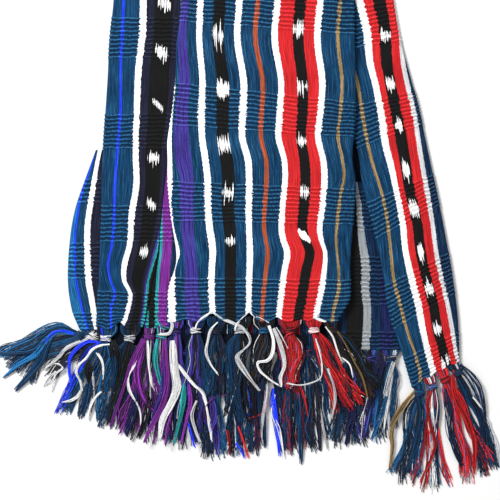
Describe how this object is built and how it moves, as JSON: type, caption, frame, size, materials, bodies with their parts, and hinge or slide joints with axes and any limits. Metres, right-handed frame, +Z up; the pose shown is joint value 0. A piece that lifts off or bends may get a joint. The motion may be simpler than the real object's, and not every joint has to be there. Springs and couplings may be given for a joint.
{
  "type": "folded rebozo shawl",
  "caption": "Handwoven striped cotton shawl with knotted fringe, folded in half, gathered in lengthwise pleats and laid flat.",
  "frame": {"origin": "centre of the lie's box, on the surface that it rests on", "axes": "+Z up, off the surface; +Y along the pleats towards the mid-length fold, with the fringed ends at -Y; +X to the right seen from above with the fringe nearest"},
  "size_m": [0.5026, 1.0252, 0.0156],
  "materials": {
    "hidden_cotton": "handwoven cotton, soft sheen",
    "striped_cotton": "handwoven cotton, soft sheen",
    "fringe_purple": "loose cotton yarn",
    "fringe_blue": "loose cotton yarn",
    "fringe_white": "loose cotton yarn",
    "fringe_teal": "loose cotton yarn",
    "fringe_black": "loose cotton yarn",
    "fringe_red": "loose cotton yarn"
  },
  "bodies": {
    "root": {"folded_core": "hidden_cotton", "front_panel": "striped_cotton", "left_pleat": "striped_cotton", "right_flap": "striped_cotton", "pleat_channel": "striped_cotton", "back_end_gap": "striped_cotton", "back_end_left": "striped_cotton", "tassel_front_1": "fringe_purple", "tassel_front_2": "fringe_blue", "tassel_front_3": "fringe_white", "tassel_front_4": "fringe_teal", "tassel_front_5": "fringe_black", "tassel_front_6": "fringe_red", "tassel_front_7": "fringe_red", "tassel_front_8": "fringe_black", "tassel_left_1": "fringe_teal", "tassel_left_2": "fringe_black", "tassel_channel_1": "fringe_white", "tassel_channel_2": "fringe_purple", "tassel_back_left_1": "fringe_teal", "tassel_back_left_2": "fringe_white", "tassel_flap_1": "fringe_teal", "tassel_flap_2": "fringe_white", "tassel_flap_3": "fringe_red", "tassel_flap_4": "fringe_teal", "tassel_back_1": "fringe_blue", "tassel_back_2": "fringe_teal", "tassel_back_3": "fringe_black", "tassel_back_4": "fringe_teal", "tassel_back_5": "fringe_white", "tassel_back_6": "fringe_red", "tassel_gap_1": "fringe_blue", "tassel_gap_2": "fringe_teal", "tassel_gap_3": "fringe_purple"}
  },
  "joints": []
}
